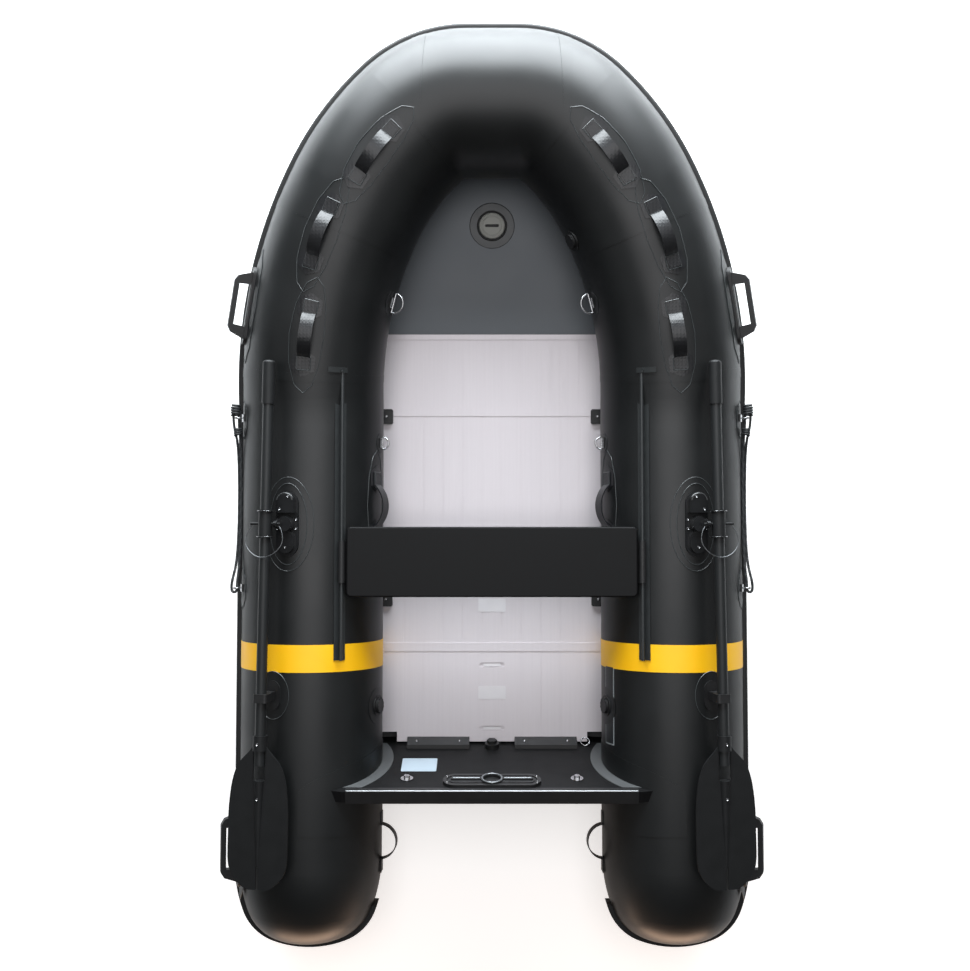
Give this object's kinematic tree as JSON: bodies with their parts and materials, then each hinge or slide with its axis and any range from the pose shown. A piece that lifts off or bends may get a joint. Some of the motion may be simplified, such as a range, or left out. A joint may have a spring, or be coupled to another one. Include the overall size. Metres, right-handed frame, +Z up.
{
  "type": "inflatable boat",
  "caption": "Open inflatable dinghy with raised bow tube, domed stern cones, aluminium board floor, raked transom, sliding seat and a pair of oars in swivel oarlocks.",
  "frame": {"origin": "centre of the footprint on the floor the boat rests on", "axes": "+Y towards the bow, +X to starboard, +Z up"},
  "size_m": [1.592, 2.7013, 0.5835],
  "materials": {
    "black_board": "black painted board",
    "black_moulding": "moulded",
    "bottom_fabric": "coated PVC",
    "floor_aluminium": "satin anodised",
    "grey_panel": "satin",
    "oar_plastic": "moulded",
    "rail_plastic": "extruded",
    "rope": "braided",
    "shaft_aluminium": "black anodised",
    "stainless_steel": "polished",
    "strake_rubber": "matt",
    "tube_fabric": "semi-gloss coated PVC",
    "valve_plastic": "moulded grey",
    "webbing": "woven"
  },
  "bodies": {
    "hull": {"aft_floorboard": "floor_aluminium", "air_keel": "bottom_fabric", "air_valves": "black_moulding", "bow_chamber": "tube_fabric", "bow_floor_panel": "grey_panel", "bow_rub_strake": "strake_rubber", "bow_tow_rings": "stainless_steel", "cockpit_d_rings": "stainless_steel", "drain_valve": "black_moulding", "floor_joiners": "floor_aluminium", "floor_retainers": "black_moulding", "floor_stringers": "floor_aluminium", "forward_floorboard": "floor_aluminium", "hull_bottom": "bottom_fabric", "inner_motor_plate": "black_moulding", "inner_strap_handles": "webbing", "keel_guard": "strake_rubber", "keel_valve_cap": "valve_plastic", "keel_valve_collar": "black_moulding", "oar_clips": "black_moulding", "outer_motor_plate": "black_moulding", "port_bow_strap_handles": "webbing", "port_chamber": "tube_fabric", "port_grab_rope": "rope", "port_lift_handles": "black_moulding", "port_oarlock_base": "black_moulding", "port_rub_strake": "strake_rubber", "port_stern_cone": "tube_fabric", "rope_eyes": "stainless_steel", "seat_rails": "rail_plastic", "second_floorboard": "floor_aluminium", "starboard_bow_strap_handles": "webbing", "starboard_chamber": "tube_fabric", "starboard_grab_rope": "rope", "starboard_lift_handles": "black_moulding", "starboard_oarlock_base": "black_moulding", "starboard_rub_strake": "strake_rubber", "starboard_stern_cone": "tube_fabric", "stern_straps": "webbing", "stringer_clips": "black_moulding", "third_floorboard": "floor_aluminium", "tow_eyes": "stainless_steel", "transom_board": "black_board", "transom_cap": "black_moulding", "transom_gussets": "bottom_fabric"},
    "seat": {"seat_board": "black_board", "seat_hooks": "black_moulding"},
    "port_oar": {"port_oar_blade": "oar_plastic", "port_oar_collar": "oar_plastic", "port_oar_grip": "oar_plastic", "port_oar_keeper": "stainless_steel", "port_oar_shaft": "shaft_aluminium", "port_oarlock_swivel": "oar_plastic"},
    "starboard_oar": {"starboard_oar_blade": "oar_plastic", "starboard_oar_collar": "oar_plastic", "starboard_oar_grip": "oar_plastic", "starboard_oar_keeper": "stainless_steel", "starboard_oar_shaft": "shaft_aluminium", "starboard_oarlock_swivel": "oar_plastic"}
  },
  "joints": [
    {"name": "seat_slide", "type": "slide", "parent": "hull", "child": "seat", "axis": [0, 1, 0], "range_m": [-0.19, 0.39]},
    {"name": "port_oar_swing", "type": "hinge", "parent": "hull", "child": "port_oar", "pos_m": [-0.58187, -0.106, 0.41578], "axis": [0.1994, 0, -0.9799], "range_deg": [0, 110]},
    {"name": "starboard_oar_swing", "type": "hinge", "parent": "hull", "child": "starboard_oar", "pos_m": [0.58187, -0.106, 0.41578], "axis": [0.1994, 0, 0.9799], "range_deg": [0, 110]}
  ]
}
